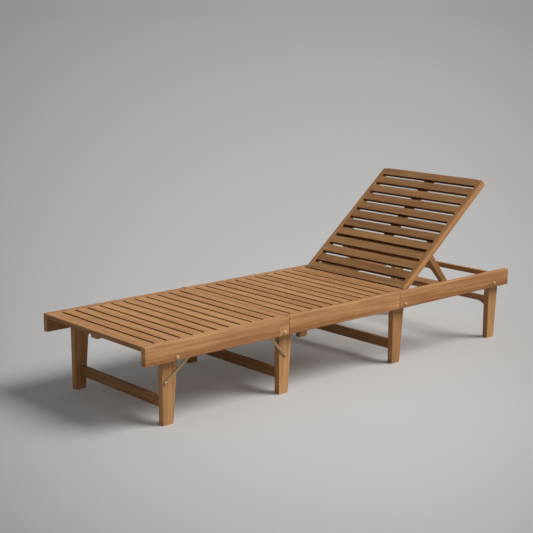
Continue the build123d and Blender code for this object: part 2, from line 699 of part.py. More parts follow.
def back_hinges(maker, side):
    middle_y = (WIDTH - BACK_HINGE_LENGTH) / 2
    near_gap = BACK_END_GAP - HINGE_LEAF_THICKNESS
    pieces = []
    for low_y in (BACK_HINGE_INSET, middle_y, WIDTH - BACK_HINGE_INSET - BACK_HINGE_LENGTH):
        size = (BACK_HINGE_LENGTH, near_gap, BACK_LEAF_HEIGHT)
        pieces += maker(BACK_HINGE_X, BACK_HINGE_Z, low_y, *size, side, 1)
    return pieces


# The pieces of each section

def save_foot_section():
    save_pair("foot_rail", foot_rail())
    save("foot_strips", both(slat_strip(FOOT_END_SLAT_WIDTH, FOOT_SEAM_X - SEAM_HALF_GAP)))
    save("foot_rail_pads", both(rail_pad()))
    save("foot_end_slat", [slat(0, FOOT_END_SLAT_WIDTH, RAIL_THICKNESS)])
    save("foot_slats", slat_run(FOOT_RUN_X, FOOT_SLAT_WIDTH, FOOT_SLAT_COUNT))
    save("foot_seam_slat", [slat(FOOT_LAST_X, FOOT_SEAM_X - SEAM_HALF_GAP - FOOT_LAST_X)])
    save("foot_batten", [deck_batten(DECK_BATTEN_START, FOOT_SEAM_X - DECK_BATTEN_END_MARGIN)])
    blocks = both(stay_block(STAY_1_X, STAY_1_Z, STAY_1_SLOPE))
    blocks += both(stay_block(STAY_2_X, STAY_2_Z, STAY_2_SLOPE))
    save("foot_stay_blocks", blocks)
    save("foot_leg_bolts", bolt_group([(PIVOT_1_X, PIVOT_1_Z), (PIVOT_2_X, PIVOT_2_Z)]))
    save("foot_fold_leaves", seam_hinges(centre_leaf, FOOT_SEAM_X, FOOT_SEAM_AXIS_Z, -1, 1))


def save_middle_section():
    save_pair("middle_rail", middle_rail())
    save("middle_strips", both(slat_strip(MIDDLE_FIRST_X, HEAD_SEAM_X - SEAM_HALF_GAP)))
    first_slat = slat(MIDDLE_FIRST_X, MIDDLE_FIRST_SLAT_WIDTH)
    last_slat = slat(MIDDLE_LAST_X, HEAD_SEAM_X - SEAM_HALF_GAP - MIDDLE_LAST_X)
    save("middle_end_slats", [first_slat, last_slat])
    save("middle_slats", slat_run(MIDDLE_RUN_X, MIDDLE_SLAT_WIDTH, MIDDLE_SLAT_COUNT))
    batten_start = FOOT_SEAM_X + DECK_BATTEN_END_MARGIN
    save("middle_batten", [deck_batten(batten_start, HEAD_SEAM_X - DECK_BATTEN_END_MARGIN)])
    leaves = seam_hinges(pinned_leaf, FOOT_SEAM_X, FOOT_SEAM_AXIS_Z, 1, 1)
    leaves += seam_hinges(pinned_leaf, HEAD_SEAM_X, HEAD_SEAM_AXIS_Z, -1, -1)
    save("middle_fold_leaves", leaves)


def save_head_section():
    save_pair("head_rail", head_rail())
    save("head_strips", both(slat_strip(SEAT_SLAT_X, SEAT_SLAT_END)))
    save("head_seat_slat", [slat(SEAT_SLAT_X, SEAT_SLAT_END - SEAT_SLAT_X)])
    save("rack_strips", both(rack_strip()))
    save("rack_board", [rack_board()])
    save("head_end_bar", [end_bar()])
    save("head_leg_bolts", bolt_group([(PIVOT_3_X, PIVOT_3_Z), (PIVOT_4_X, PIVOT_4_Z)]))
    save("head_fold_leaves", seam_hinges(centre_leaf, HEAD_SEAM_X, HEAD_SEAM_AXIS_Z, 1, -1))
    save("back_hinge_fixed_leaves", back_hinges(pinned_leaf, -1))


def save_legs():
    first = leg(LEG_1_X, PIVOT_1_X, PIVOT_1_Z) - rivet_bore(STAY_1_X, STAY_1_Z)
    second = leg_2() - rivet_bore(STAY_2_X, STAY_2_Z)
    save_pair("leg_1", first)
    save_pair("leg_2", second)
    save_pair("leg_3", leg(LEG_3_X, PIVOT_3_X, PIVOT_3_Z))
    save_pair("leg_4", leg(LEG_4_X, PIVOT_4_X, PIVOT_4_Z, LEG_4_TOP_WIDTH))
    save("leg_1_stretcher", [stretcher(LEG_1_X)])
    save("leg_2_stretcher", [stretcher(LEG_2_X)])
    save("leg_3_stretcher", [stretcher(LEG_3_X)])
    save("leg_4_apron", [apron(LEG_4_X)])
    save_pair("stay_1", stay(STAY_1_X, STAY_1_Z, STAY_1_SLOPE))
    save_pair("stay_2", stay(STAY_2_X, STAY_2_Z, STAY_2_SLOPE))
    save("stay_1_rivets", both(stay_rivet(STAY_1_X, STAY_1_Z)))
    save("stay_2_rivets", both(stay_rivet(STAY_2_X, STAY_2_Z)))


def save_back():
    save_pair("back_stile", raised(back_stile()))
    top_reach = back_slat_low(BACK_SLAT_COUNT)
    save("back_bottom_slat", [raised(back_slat(BACK_END_GAP, BACK_FIRST_GAP - BACK_GAP / 2, SLAT_BOTTOM))])
    save("back_top_slat", [raised(back_slat(top_reach, BACK_REACH))])
    save("back_slats", [raised(back_run_slat(index)) for index in range(BACK_SLAT_COUNT)])
    save("back_batten", [raised(back_batten())])
    save("back_bar", [raised(back_bar())])
    save("prop_cleats", [raised(piece) for piece in both(prop_cleat())])
    save("prop_pins", [raised(piece) for piece in both(prop_pin())])
    save("back_hinge_moving_leaves", [raised(piece) for piece in back_hinges(centre_leaf, 1)])


def save_prop():
    save_pair("prop_strut", prop_strut())
    save("prop_crossbar", [prop_crossbar()])
    save("prop_foot_pins", both(prop_foot_pin()))


os.makedirs("parts", exist_ok=True)
save_foot_section()
save_middle_section()
save_head_section()
save_legs()
save_back()
save_prop()
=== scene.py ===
# %% [markdown]
# # A folding sun lounger in oiled hardwood
#
# The deck is made of slats laid across two long side rails. The rails are in three lengths, so the
# deck folds in three, and the slats over the head end are set in a frame that leans back on a prop.
# Every piece below is a mesh in metres, in the same frame as the lounger itself: the floor is at
# z = 0, the foot end is at the left (-X) and the near side is at -Y. The frame's own solids are
# plain, and each step here puts finished pieces in their place.

# %% Load the frame
import json
import math
import random

import bmesh
import bpy
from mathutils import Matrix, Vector

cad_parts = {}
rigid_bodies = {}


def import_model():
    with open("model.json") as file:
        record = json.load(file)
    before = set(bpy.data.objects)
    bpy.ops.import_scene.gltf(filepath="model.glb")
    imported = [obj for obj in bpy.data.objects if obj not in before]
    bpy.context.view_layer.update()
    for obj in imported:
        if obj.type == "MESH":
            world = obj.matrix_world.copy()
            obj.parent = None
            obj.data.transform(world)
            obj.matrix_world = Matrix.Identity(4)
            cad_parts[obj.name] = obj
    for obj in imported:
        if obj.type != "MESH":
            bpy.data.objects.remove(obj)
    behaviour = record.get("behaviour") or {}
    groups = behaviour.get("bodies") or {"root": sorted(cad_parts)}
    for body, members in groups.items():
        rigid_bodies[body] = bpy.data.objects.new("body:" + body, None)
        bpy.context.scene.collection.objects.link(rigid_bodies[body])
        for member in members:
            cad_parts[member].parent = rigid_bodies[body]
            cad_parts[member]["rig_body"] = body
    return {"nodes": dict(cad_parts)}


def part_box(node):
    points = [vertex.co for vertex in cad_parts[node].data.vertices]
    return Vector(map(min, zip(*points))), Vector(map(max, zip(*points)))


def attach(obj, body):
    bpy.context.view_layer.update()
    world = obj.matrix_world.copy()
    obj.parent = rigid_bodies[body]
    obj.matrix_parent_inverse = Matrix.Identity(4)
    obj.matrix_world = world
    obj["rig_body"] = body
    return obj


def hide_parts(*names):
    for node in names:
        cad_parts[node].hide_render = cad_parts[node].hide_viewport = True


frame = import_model()
nodes = frame["nodes"]
body_of_node = {name: obj["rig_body"] for name, obj in nodes.items()}
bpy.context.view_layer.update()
print("pieces of the frame:", len(nodes))

# %% [markdown]
# ## Places
#
# Lengths are written in millimetres, as a joiner would, from the outer face of the near rail and
# from the foot end. `MM` turns them into metres and `place` moves them into the shared frame.

# %% Places
MM = 0.001
LENGTH = 1992.0
WIDTH = 660.0
DECK = 311.5


def place(x, y, z):
    return Vector(((x - LENGTH / 2) * MM, (y - WIDTH / 2) * MM, z * MM))


print("foot end:", tuple(round(v, 3) for v in place(0, 0, DECK)))

# %% [markdown]
# ## Shader maths as plain expressions
#
# A procedural finish is mostly arithmetic on a few textures. In the shader editor that is a web of
# Math nodes. `Value` wraps one output socket instead, and its operators add the Math nodes, so a
# line such as `1.0 - fibre * 0.6` reads like what it does.

# %% Shader maths
class Value:
    def __init__(self, tree, socket):
        self.tree = tree
        self.socket = socket

    def math(self, operation, *others):
        node = self.tree.nodes.new("ShaderNodeMath")
        node.operation = operation
        for index, term in enumerate((self,) + others):
            if isinstance(term, Value):
                self.tree.links.new(term.socket, node.inputs[index])
            else:
                node.inputs[index].default_value = term
        return Value(self.tree, node.outputs[0])

    def __add__(self, other):
        return self.math("ADD", other)

    __radd__ = __add__

    def __sub__(self, other):
        return self.math("SUBTRACT", other)

    def __rsub__(self, other):
        return (self * -1.0).math("ADD", other)

    def __mul__(self, other):
        return self.math("MULTIPLY", other)

    __rmul__ = __mul__

    def power(self, other):
        return self.math("POWER", other)

    def sine(self):
        return self.math("SINE")

    def at_least(self, low):
        return self.math("MAXIMUM", low)

    def at_most(self, high):
        return self.math("MINIMUM", high)

    def clamp(self):
        node = self.tree.nodes.new("ShaderNodeClamp")
        self.tree.links.new(self.socket, node.inputs["Value"])
        return Value(self.tree, node.outputs[0])

    def steps(self, low, high):
        """0 below low, 1 above high and smooth in between."""
        node = self.tree.nodes.new("ShaderNodeMapRange")
        node.interpolation_type = "SMOOTHSTEP"
        self.tree.links.new(self.socket, node.inputs["Value"])
        node.inputs["From Min"].default_value = low
        node.inputs["From Max"].default_value = high
        return Value(self.tree, node.outputs["Result"])


print("a value can:", ", ".join(name for name in vars(Value) if not name.startswith("_")))

# %% [markdown]
# ## A finish being built
#
# `Finish` starts a material, or takes the tree of the world. Its method `node` adds a node of any
# type, with its settings and with the values or links of its sockets. The other methods are short
# names for what a finish often needs: a noise, a mix of two colours, a colour through a filter.

# %% Finishes
class Finish:
    def __init__(self, name, tree=None):
        if tree is None:
            self.material = bpy.data.materials.new(name)
            self.material.use_nodes = True
            tree = self.material.node_tree
        self.tree = tree
        self.shader = tree.nodes.get("Principled BSDF")

    def node(self, kind, settings=None, **inputs):
        made = self.tree.nodes.new(kind)
        for key, value in (settings or {}).items():
            setattr(made, key, value)
        for key, value in inputs.items():
            self.feed(made.inputs[key.replace("_", " ")], value)
        return made

    def feed(self, socket, value):
        if isinstance(value, Value):
            self.tree.links.new(value.socket, socket)
        elif isinstance(value, bpy.types.NodeSocket):
            self.tree.links.new(value, socket)
        else:
            socket.default_value = value

    def attribute(self, name):
        return self.node("ShaderNodeAttribute", {"attribute_name": name}).outputs["Vector"]

    def parts(self, vector):
        split = self.node("ShaderNodeSeparateXYZ", Vector=vector)
        return [Value(self.tree, split.outputs[i]) for i in range(3)]

    def scaled(self, vector, factors, shift=None):
        times = self.node("ShaderNodeVectorMath", {"operation": "MULTIPLY"})
        self.feed(times.inputs[0], vector)
        times.inputs[1].default_value = factors
        if shift is None:
            return times.outputs[0]
        plus = self.node("ShaderNodeVectorMath", {"operation": "ADD"})
        self.feed(plus.inputs[0], times.outputs[0])
        self.feed(plus.inputs[1], shift)
        return plus.outputs[0]

    def noise(self, vector, detail=3.0, roughness=0.5, distortion=0.0):
        made = self.node("ShaderNodeTexNoise", Vector=vector, Scale=1.0, Detail=detail,
                         Roughness=roughness, Distortion=distortion)
        return Value(self.tree, made.outputs[0])

    def mix(self, factor, first, second, blend="MIX"):
        made = self.node("ShaderNodeMix", {"data_type": "RGBA", "blend_type": blend})
        self.feed(made.inputs["Factor"], factor)
        self.feed(made.inputs[6], first)
        self.feed(made.inputs[7], second)
        return made.outputs[2]

    def filtered(self, factor, colour, tint):
        """The colour seen through a coloured filter; the factor says how much."""
        return self.mix(factor, colour, self.mix(1.0, colour, tint, "MULTIPLY"))

    def bump(self, height, strength, distance):
        made = self.node("ShaderNodeBump", Height=height, Strength=strength, Distance=distance)
        self.feed(self.shader.inputs["Normal"], made.outputs[0])

    def set(self, name, value):
        self.feed(self.shader.inputs[name], value)


BLACK = (0.0, 0.0, 0.0, 1.0)
print("a finish can:", ", ".join(name for name in dir(Finish) if not name.startswith("_")))

# %% [markdown]
# ## The figure in the wood
#
# The real lounger is planed hardwood with a long, straight grain. A photograph of boards could be
# wrapped round each piece, but it would repeat and would not reach round the ends. Noise in three
# dimensions runs through the board, as real fibres do. Each board carries three attributes for it.
# `grain` is a point's place in its own board, with x along the fibres, so the figure follows the
# board wherever it lies. `tint` holds three random numbers, so that no two boards come from the
# same part of a tree. `edge` holds three masks, used by the colour below.
#
# A noise stretched along x gives fibres. In `FIGURE`, each pair of numbers says how many waves a
# noise has to a metre, along the fibres and across them; its detail, roughness and bend follow.
# The growth rings come from the sine of a slow noise: a line appears wherever the noise passes
# the same level again.

# %% The figure in the wood
FIGURE = {
    "slow": ((1.6, 7.0), 2.0, 0.5, 0.0),
    "bent": ((0.9, 20.0), 2.0, 0.4, 0.4),
    "fibre": ((9.0, 420.0), 4.0, 0.6, 0.0),
    "streak": ((3.2, 120.0), 3.0, 0.55, 0.0),
    "blotch": ((14.0, 30.0), 3.0, 0.6, 0.0),
    "pores": ((42.0, 950.0), 1.0, 0.4, 0.0),
}
TREE_SHIFT = (37.0, 53.0, 71.0)
RING_WAVES = 38.0
RING_TURN = 6.0
PORE_EDGE = (0.62, 0.74)


def wood_layers(wood):
    """The figure and the masks by name, each a value between about 0 and 1."""
    tint = wood.attribute("tint")
    shift = wood.scaled(tint, TREE_SHIFT)
    spot = wood.attribute("grain")
    layers = {}
    for name, ((along, across), detail, roughness, distortion) in FIGURE.items():
        stretched = wood.scaled(spot, (along, across, across), shift)
        layers[name] = wood.noise(stretched, detail, roughness, distortion)
    layers["tone"], layers["hue"], turn = wood.parts(tint)
    layers["rings"] = (layers["bent"] * RING_WAVES + turn * RING_TURN).sine() * 0.5 + 0.5
    layers["pores"] = layers["pores"].steps(*PORE_EDGE)
    layers["rub"], layers["stain"], layers["depth"] = wood.parts(wood.attribute("edge"))
    return layers


print("layers of figure:", ", ".join(FIGURE))

# %% [markdown]
# ## The colour of the wood
#
# Oil turns this wood a golden brown. The colour starts from a light and a middle brown mixed by
# the coarse figure, and fibres and pores go in darker. Then each board drifts a little towards red
# and towards dark by its own tint. The masks come last: the rounded edges, which handling rubs
# paler and which are painted paler again as a highlight; the walls of the gaps between slats,
# painted dark as the shade that falls in the gaps; and a rail's lower part, which is made darker
# and browner towards the bottom.
#
# Each table of shares says how much of every layer goes into a sum, like a recipe.

# %% The colour of the wood
LIGHT_WOOD = (0.62, 0.342, 0.142, 1.0)
MID_WOOD = (0.41, 0.195, 0.075, 1.0)
DARK_WOOD = (0.25, 0.105, 0.036, 1.0)
RED_BOARD = (1.0, 0.86, 0.78, 1.0)
# Darker board tone; on pieces under the deck and the back it is partly painted shade.
DARK_BOARD_AND_SHADE = (0.60, 0.56, 0.52, 1.0)
# Painted shade: the colour that darkens the walls of the gaps between slats.
GAP_SHADE_COLOUR = (0.24, 0.15, 0.08, 1.0)
# The colour a near rail darkens towards at its bottom.
BROWN_BELOW = (0.66, 0.55, 0.49, 1.0)
COARSE_SHARES = {"slow": 0.5, "rings": 0.2, "streak": 0.75, "blotch": 0.35}
COARSE_LEVEL = 0.42
COARSE_EDGE = (0.15, 0.8)
FIBRE_LEVEL = 0.38
FIBRE_SHARE = 0.7
RED_SHARE = 0.38
DARK_SHARE = 0.95
PORE_SHARE = 0.35
# Rounded edges are worn paler and painted paler again as a highlight.
WEAR_AND_HIGHLIGHT_SHARE = 0.4
BELOW_SHARES = {"depth": 1.0, "slow": 0.7, "streak": 0.4}
BELOW_LEVEL = 0.55
BELOW_EDGE = (0.45, 0.95)
BELOW_SHARE = 0.8


def weighted(layers, shares):
    terms = [layers[name] * share for name, share in shares.items()]
    return sum(terms[1:], terms[0])


def wood_colour(wood, layers):
    coarse = (weighted(layers, COARSE_SHARES) - COARSE_LEVEL).clamp()
    colour = wood.mix(coarse.steps(*COARSE_EDGE), LIGHT_WOOD, MID_WOOD)
    fibre = (layers["fibre"] - FIBRE_LEVEL).clamp()
    colour = wood.mix(fibre * FIBRE_SHARE, colour, DARK_WOOD)
    colour = wood.filtered(layers["hue"] * RED_SHARE, colour, RED_BOARD)
    # Darker board tone, partly painted shade on the pieces under the deck and the back.
    colour = wood.filtered(layers["tone"] * layers["tone"] * DARK_SHARE, colour, DARK_BOARD_AND_SHADE)
    colour = wood.mix(layers["pores"] * PORE_SHARE, colour, DARK_WOOD)
    # Worn edges, painted paler also as a highlight.
    colour = wood.mix(layers["rub"] * WEAR_AND_HIGHLIGHT_SHARE, colour, LIGHT_WOOD)
    # Painted shade on the walls of the gaps between slats.
    colour = wood.filtered(layers["stain"], colour, GAP_SHADE_COLOUR)
    # A near rail is made darker and browner towards its bottom.
    browner_below = (weighted(layers, BELOW_SHARES) - BELOW_LEVEL).steps(*BELOW_EDGE)
    return wood.filtered(browner_below * BELOW_SHARE, colour, BROWN_BELOW)


print("light wood is", round(LIGHT_WOOD[0] / LIGHT_WOOD[2], 1), "times as red as blue")

# %% [markdown]
# ## The oiled finish
#
# Rubbed oil leaves a satin sheen and no film: the light spreads widely on it, and it is duller
# where the fibres stand up, in the pores and on the gap walls between slats. A thick clear coat
# would look like varnish, so there is only a trace of one. The bump lets fibres catch a low light.

# %% The oiled finish
WOOD_ROUGHNESS = 0.42
WOOD_SPECULAR = 0.24
OIL_COAT = 0.03
OIL_ROUGHNESS = 0.35
DULL_SHARES = {"fibre": 0.16, "pores": 0.15, "tone": 0.05, "stain": 0.3}
RELIEF_SHARES = {"fibre": 0.45, "streak": 0.35, "pores": -0.6}
RELIEF_STRENGTH = 0.25
RELIEF_HEIGHT = 0.5


def oiled_wood():
    wood = Finish("oiled_hardwood")
    layers = wood_layers(wood)
    wood.set("Base Color", wood_colour(wood, layers))
    wood.set("Roughness", weighted(layers, DULL_SHARES) + WOOD_ROUGHNESS)
    wood.set("Specular IOR Level", WOOD_SPECULAR)
    wood.set("Coat Weight", OIL_COAT)
    wood.set("Coat Roughness", OIL_ROUGHNESS)
    wood.bump(weighted(layers, RELIEF_SHARES), RELIEF_STRENGTH, RELIEF_HEIGHT * MM)
    return wood.material


OILED = oiled_wood()
print("wood finish with", len(OILED.node_tree.nodes), "nodes")

# %% [markdown]
# ## The metal
#
# The bolts, pins and hinges are plated steel with a tan, bronze-like tone, which suits the wood.
# The stays are flat strips whose plating has yellowed a little more. Both are fairly dull, with a
# mottling where the plating has aged: a soft noise chooses between a clean and an aged tone, and
# the aged spots are rougher too. One function makes both, since only colours and dullness differ.

# %% The metal finishes
CLOUDS_PER_METRE = 180.0
SPECKS_PER_METRE = 900.0
AGED_EDGE = (0.35, 0.7)
CLOUD_DULLS = 0.25
SPECK_DULLS = 0.1
SPECK_STRENGTH = 0.12
SPECK_HEIGHT = 0.2


def plated_metal(name, clean, aged, roughness):
    metal = Finish(name)
    spot = metal.node("ShaderNodeTexCoord").outputs["Object"]
    cloud = metal.noise(metal.scaled(spot, (CLOUDS_PER_METRE,) * 3), detail=4.0, roughness=0.6)
    speck = metal.noise(metal.scaled(spot, (SPECKS_PER_METRE,) * 3), detail=2.0, roughness=0.5)
    metal.set("Base Color", metal.mix(cloud.steps(*AGED_EDGE), clean, aged))
    metal.set("Metallic", 1.0)
    metal.set("Roughness", cloud * CLOUD_DULLS + speck * SPECK_DULLS + roughness)
    metal.bump(speck, SPECK_STRENGTH, SPECK_HEIGHT * MM)
    return metal.material


TAN, BROWN = (0.64, 0.45, 0.28, 1.0), (0.46, 0.31, 0.19, 1.0)
STRAW, OCHRE = (0.60, 0.43, 0.27, 1.0), (0.45, 0.31, 0.185, 1.0)
BRONZED = plated_metal("bronzed_steel", TAN, BROWN, 0.48)
YELLOWED = plated_metal("yellowed_steel", STRAW, OCHRE, 0.34)
print("metal finishes:", BRONZED.name, YELLOWED.name)

# %% [markdown]
# ## Telling boards apart
#
# One frame piece may hold several boards, such as the two strips of a section. Each needs a tint
# and a grain of its own, so the boards are told apart first: two points belong together when a
# chain of edges joins them. A short way to find that is to let each point name an owner, and to
# merge the owners of the two ends of every edge.

# %% Separate boards
def islands(mesh):
    """The number of the separate board that each vertex belongs to."""
    owner = list(range(len(mesh.vertices)))

    def root(i):
        while owner[i] != i:
            owner[i] = owner[owner[i]]
            i = owner[i]
        return i

    for edge in mesh.edges:
        a, b = (root(i) for i in edge.vertices)
        owner[a] = b
    numbers = {}
    return [numbers.setdefault(root(i), len(numbers)) for i in range(len(owner))]


def write_vectors(mesh, name, values):
    layer = mesh.attributes.new(name, "FLOAT_VECTOR", "POINT")
    layer.data.foreach_set("vector", [c for value in values for c in value])


print("points in the frame's foot strips:", len(nodes["foot_strips"].data.vertices))

# %% [markdown]
# ## Which way the fibres run
#
# A joiner cuts every part with the fibres along its length. `AXES` gives, for each direction that
# a part may lie in, the way along its fibres and the two ways across. The back leans at
# `BACK_LEAN` and the prop's struts slope down from it at `PROP_SLOPE`.

# %% Fibre directions
BACK_LEAN = math.radians(39.1)
PROP_SLOPE = math.radians(51.6)
AXES = {
    "along": (Vector((1, 0, 0)), Vector((0, 1, 0)), Vector((0, 0, 1))),
    "across": (Vector((0, 1, 0)), Vector((1, 0, 0)), Vector((0, 0, 1))),
    "upright": (Vector((0, 0, 1)), Vector((0, 1, 0)), Vector((1, 0, 0))),
    "leaning": (Vector((math.cos(BACK_LEAN), 0, math.sin(BACK_LEAN))), Vector((0, 1, 0)),
                Vector((-math.sin(BACK_LEAN), 0, math.cos(BACK_LEAN)))),
    "propping": (Vector((math.cos(PROP_SLOPE), 0, -math.sin(PROP_SLOPE))), Vector((0, 1, 0)),
                 Vector((math.sin(PROP_SLOPE), 0, math.cos(PROP_SLOPE)))),
}
print("fibre directions:", ", ".join(AXES))

# %% [markdown]
# ## Tones chosen one by one
#
# Chance gives most boards their tone. The boards that face the viewer were matched to the
# photograph instead: the first table holds how dark and how red each is, from 0 to 1. On the legs,
# the apron, the stretchers, the struts and the stay blocks, part of that darkness is painted shade.
# The second table holds how strongly a near rail is made darker and browner towards its bottom.

# %% Tones chosen one by one
# Tone and redness of listed pieces; the darkness on legs, apron, stretchers, struts and stay blocks is
# partly painted shade.
CHOSEN_TONE_AND_SHADE = {
    "foot_rail_near": (0.0, 0.2), "middle_rail_near": (0.1, 0.35), "head_rail_near": (0.1, 0.6),
    "foot_rail_pads": (0.0, 0.0), "back_stile_near": (0.0, 1.0), "back_stile_far": (0.1, 0.5),
    "leg_1_near": (0.5, 0.3), "leg_2_near": (0.25, 0.2), "leg_3_near": (0.75, 0.7),
    "leg_4_near": (0.6, 0.3), "leg_4_apron": (0.5, 0.0), "foot_stay_blocks": (1.0, 0.0),
    "prop_strut_near": (0.8, 0.2), "prop_strut_far": (0.9, 0.2), "leg_1_stretcher": (0.85, 0.0),
    "leg_2_stretcher": (0.9, 0.0), "leg_3_stretcher": (0.8, 0.1),
}
# How strongly each near rail darkens towards its bottom.
DARKER_BELOW = {"foot_rail_near": 0.85, "middle_rail_near": 0.9, "head_rail_near": 1.15}
print("boards with a chosen tone:", len(CHOSEN_TONE_AND_SHADE))

# %% [markdown]
# ## The three attributes of a board
#
# `grain` is measured from the middle of the board's box along `AXES`. `tint` is drawn by dice
# that are seeded with the piece's name, so every run gives the same lounger. A point counts as a
# worn edge, painted paler also as a highlight, when it lies close to two sides of the box at once,
# which is where the rounded edges are. The third mask darkens a near rail towards its bottom.

# %% The attributes of a board
EDGE_SHARE = 0.7


def board_tints(seed, count):
    dice = random.Random(seed)
    tints = [(dice.random(), dice.random(), dice.random()) for _ in range(count)]
    if seed in CHOSEN_TONE_AND_SHADE:
        tints = [CHOSEN_TONE_AND_SHADE[seed] + (turn,) for _, _, turn in tints]
    return tints


def board_attributes(mesh, axis, seed, ease):
    owner = islands(mesh)
    count = max(owner) + 1
    low = [Vector((math.inf,) * 3) for _ in range(count)]
    high = [Vector((-math.inf,) * 3) for _ in range(count)]
    local = [Vector([v.co.dot(a) for a in AXES[axis]]) for v in mesh.vertices]
    for point, number in zip(local, owner):
        low[number] = Vector(map(min, low[number], point))
        high[number] = Vector(map(max, high[number], point))
    tints = board_tints(seed, count)
    edges = []
    for point, number in zip(local, owner):
        gaps = [min(point[i] - low[number][i], high[number][i] - point[i]) for i in range(3)]
        # Worn edges, which the colour also paints paler as a highlight.
        rubbed = sum(gap < EDGE_SHARE * ease * MM for gap in gaps) >= 2
        # The third mask darkens a near rail towards its bottom.
        below_top = (high[number].z - point.z) / (high[number].z - low[number].z)
        edges.append((float(rubbed), 0.0, DARKER_BELOW.get(seed, 0.0) * below_top))
    write_vectors(mesh, "grain", [p - (low[n] + high[n]) / 2 for p, n in zip(local, owner)])
    write_vectors(mesh, "tint", [tints[n] for n in owner])
    write_vectors(mesh, "edge", edges)


print("near rail of the foot section draws", board_tints("foot_rail_near", 1))

# %% [markdown]
# ## From a frame piece to a finished piece
#
# A real board has its edges eased with a plane or sandpaper, so none of them is razor sharp. The
# bevel could stay a live modifier, but a plain mesh moves and exports without surprises. A frame
# piece is made of loose triangles: its points are joined, flat areas are merged into one face,
# and every sharp edge is rounded by a small bevel. `settle` then makes the shading even, hands
# over the finish, and leaves no modifier behind.

# %% Finished pieces from frame pieces
EASE = 1.2
WELD = 0.002
FLAT_ANGLE = math.radians(0.6)
SHARP_ANGLE = math.radians(35)
SHADING_ANGLE = math.radians(50)


def settle(obj, material):
    obj.data.set_sharp_from_angle(angle=SHADING_ANGLE)
    mod = obj.modifiers.new("shading", "WEIGHTED_NORMAL")
    mod.keep_sharp = True
    graph = bpy.context.evaluated_depsgraph_get()
    plain = bpy.data.meshes.new_from_object(obj.evaluated_get(graph), preserve_all_data_layers=True,
                                            depsgraph=graph)
    obj.modifiers.clear()
    obj.data = plain
    plain.materials.clear()
    plain.materials.append(material)
    return obj


def finished(node, axis, material, ease=EASE, segments=2):
    made = bmesh.new()
    made.from_mesh(nodes[node].data)
    bmesh.ops.remove_doubles(made, verts=made.verts, dist=WELD * MM)
    bmesh.ops.dissolve_limit(made, angle_limit=FLAT_ANGLE, verts=made.verts, edges=made.edges)
    sharp = [e for e in made.edges if e.is_manifold and e.calc_face_angle() > SHARP_ANGLE]
    bmesh.ops.bevel(made, geom=sharp, offset=ease * MM, offset_type="OFFSET", segments=segments,
                    profile=0.5, affect="EDGES", clamp_overlap=True)
    for face in made.faces:
        face.smooth = True
    mesh = bpy.data.meshes.new(node + "_finished")
    made.to_mesh(mesh)
    made.free()
    obj = bpy.data.objects.new(node + "_finished", mesh)
    bpy.context.scene.collection.objects.link(obj)
    board_attributes(mesh, axis, node, ease)
    settle(obj, material)
    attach(obj, body_of_node[node])
    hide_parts(node)
    return obj


def finish_boards(axis, names):
    made = [finished(node, axis, OILED) for node in names]
    faces = sum(len(obj.data.polygons) for obj in made)
    print(len(made), "pieces, fibres", axis + ":", faces, "faces")


print("edges eased by", EASE, "mm")

# %% [markdown]
# ## Rails, strips and battens
#
# Two tall side rails, each in three lengths, carry the deck. Strips along their inner faces hold
# the slats' ends, a batten under each section ties its slats in the middle, and pads thicken the
# foot rails where the bolts of the second legs go through. The rack strips take the prop's feet.
# All of these are straight boards whose outline is already right in the frame, so each is its
# frame piece with eased edges.

# %% Rails, strips and battens
finish_boards("along", [
    "foot_rail_near", "foot_rail_far", "foot_rail_pads", "foot_strips", "middle_rail_near",
    "middle_rail_far", "middle_strips", "head_rail_near", "head_rail_far", "head_strips",
    "rack_strips", "foot_batten", "middle_batten",
])

# %% [markdown]
# ## Stretchers and crossbars
#
# Boards across the lounger hold its two sides apart: a stretcher low between the legs of the
# first three pairs, a high apron with curved ends between the last, the bar at the head end, the
# board under the back, and the blocks that the stays bear on. The back and its prop have one too.

# %% Stretchers and crossbars
finish_boards("across", [
    "leg_1_stretcher", "leg_2_stretcher", "leg_3_stretcher", "leg_4_apron", "head_end_bar",
    "rack_board", "foot_stay_blocks", "back_bar", "prop_crossbar",
])

# %% [markdown]
# ## Legs
#
# Four pairs of legs stand just inside the rails. Each is cut from one board and tapers towards
# the floor, and its rounded top lets it swing on its bolt.

# %% Legs
finish_boards("upright", [f"leg_{number}_{side}" for number in (1, 2, 3, 4) for side in ("near", "far")])

# %% [markdown]
# ## The back's frame and its prop
#
# Two stiles hold the back's slats, a batten runs down behind them, and cleats carry the prop. The
# prop's struts slope the other way, so their fibres have a direction of their own.

# %% The back's frame and its prop
finish_boards("leaning", ["back_stile_near", "back_stile_far", "back_batten", "prop_cleats"])
finish_boards("propping", ["prop_strut_near", "prop_strut_far"])

# %% [markdown]
# ## Stays, hinges and pins
#
# A flat steel stay braces each of the first two pairs of legs. The hinges lie in the seams of the
# deck and at the foot of the back, and pins hold the prop at both its ends. Sheet metal has only
# its burr taken off, so its edges are eased far less than wood.

# %% Stays, hinges and pins
STAY_EASE = 0.4
HINGE_EASE = 0.25
STAYS = ["stay_1_near", "stay_1_far", "stay_2_near", "stay_2_far"]
for node in STAYS:
    finished(node, "along", YELLOWED, STAY_EASE)
HINGES = ["foot_fold_leaves", "middle_fold_leaves", "head_fold_leaves", "back_hinge_fixed_leaves",
          "back_hinge_moving_leaves", "prop_pins", "prop_foot_pins"]
for node in HINGES:
    finished(node, "along", BRONZED, HINGE_EASE, 1)
print("stays and hinges:", len(STAYS) + len(HINGES))

# %% [markdown]
# ## Node trees for what repeats
#
# Slats, bolts and rivets repeat, so each is made once by a Geometry Nodes tree with named sizes,
# and copied. A loop that copies meshes would do as well, but in a tree the sizes stay inputs that
# can be turned by hand. `Tree` adds nodes by type, much as `Finish` does.

